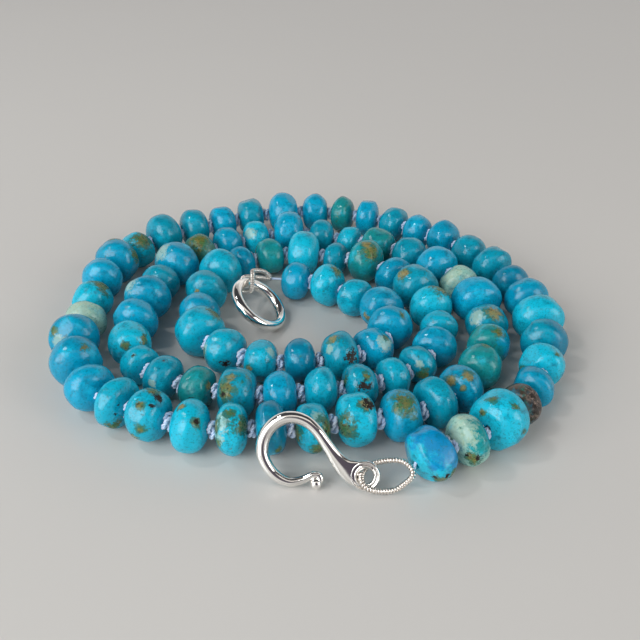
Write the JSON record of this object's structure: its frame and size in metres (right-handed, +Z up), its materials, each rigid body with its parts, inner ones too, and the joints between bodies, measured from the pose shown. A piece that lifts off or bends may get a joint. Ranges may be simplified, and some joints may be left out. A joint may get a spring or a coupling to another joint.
{
  "type": "beaded necklace",
  "caption": "Hand-knotted turquoise rondelle necklace, unfastened and lying in a spiral, with a silver S-shaped hook at one end and a plain ring at the other.",
  "frame": {"origin": "on the surface that the necklace lies on, under the middle of its overall box", "axes": "+Z up; +X to the right and +Y away for someone who faces the hook, which lies at the front edge of the spiral"},
  "size_m": [0.0926, 0.0934, 0.0101],
  "materials": {
    "turquoise": "polished",
    "silk": "satin",
    "silver": "polished",
    "bullion_wire": "polished"
  },
  "bodies": {
    "root": {"bead_01": "turquoise", "bead_02": "turquoise", "bead_03": "turquoise", "bead_04": "turquoise", "bead_05": "turquoise", "bead_06": "turquoise", "bead_07": "turquoise", "bead_08": "turquoise", "bead_09": "turquoise", "bead_10": "turquoise", "bead_11": "turquoise", "bead_12": "turquoise", "bead_13": "turquoise", "bead_14": "turquoise", "bead_15": "turquoise", "bead_16": "turquoise", "bead_17": "turquoise", "bead_18": "turquoise", "bead_19": "turquoise", "bead_20": "turquoise", "bead_21": "turquoise", "bead_22": "turquoise", "bead_23": "turquoise", "bead_24": "turquoise", "bead_25": "turquoise", "bead_26": "turquoise", "bead_27": "turquoise", "bead_28": "turquoise", "bead_29": "turquoise", "bead_30": "turquoise", "bead_31": "turquoise", "bead_32": "turquoise", "bead_33": "turquoise", "bead_34": "turquoise", "bead_35": "turquoise", "bead_36": "turquoise", "bead_37": "turquoise", "bead_38": "turquoise", "bead_39": "turquoise", "bead_40": "turquoise", "bead_strand_1": "turquoise", "bead_strand_2": "turquoise", "bead_strand_3": "turquoise", "bead_strand_4": "turquoise", "bead_strand_5": "turquoise", "bead_strand_6": "turquoise", "bead_strand_7": "turquoise", "silk_thread": "silk", "hook": "silver", "ring": "silver", "hook_loop": "bullion_wire", "ring_loop": "bullion_wire"}
  },
  "joints": []
}
